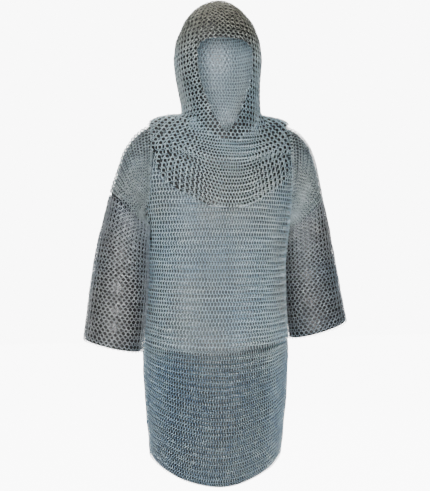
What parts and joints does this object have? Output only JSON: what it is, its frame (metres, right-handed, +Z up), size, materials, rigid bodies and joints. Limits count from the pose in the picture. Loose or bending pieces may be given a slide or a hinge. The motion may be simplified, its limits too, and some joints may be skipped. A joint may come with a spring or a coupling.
{
  "type": "chainmail hauberk with coif",
  "caption": "Worn mail shirt to mid-thigh with three-quarter sleeves, and a mail hood whose mantle lies over the shoulders. Hollow and open at face, cuffs and hem.",
  "frame": {"origin": "between the tops of the shoulders, where the wearer carries the shirt", "axes": "+Z up, -Y to the wearer's front, +X to the wearer's left"},
  "size_m": [0.699, 0.298, 1.1954],
  "materials": {
    "body_mail": "zinc-plated steel rings, tight rows",
    "shoulder_mail": "zinc-plated steel rings, tight rows",
    "sleeve_mail": "zinc-plated steel rings, stretched open",
    "coif_mail": "zinc-plated steel rings, stretched open"
  },
  "bodies": {
    "root": {"body_front": "body_mail", "body_back": "body_mail", "shoulder_right": "shoulder_mail", "shoulder_left": "shoulder_mail", "sleeve_right": "sleeve_mail", "sleeve_left": "sleeve_mail", "coif_hood": "coif_mail", "coif_mantle": "coif_mail"}
  },
  "joints": []
}
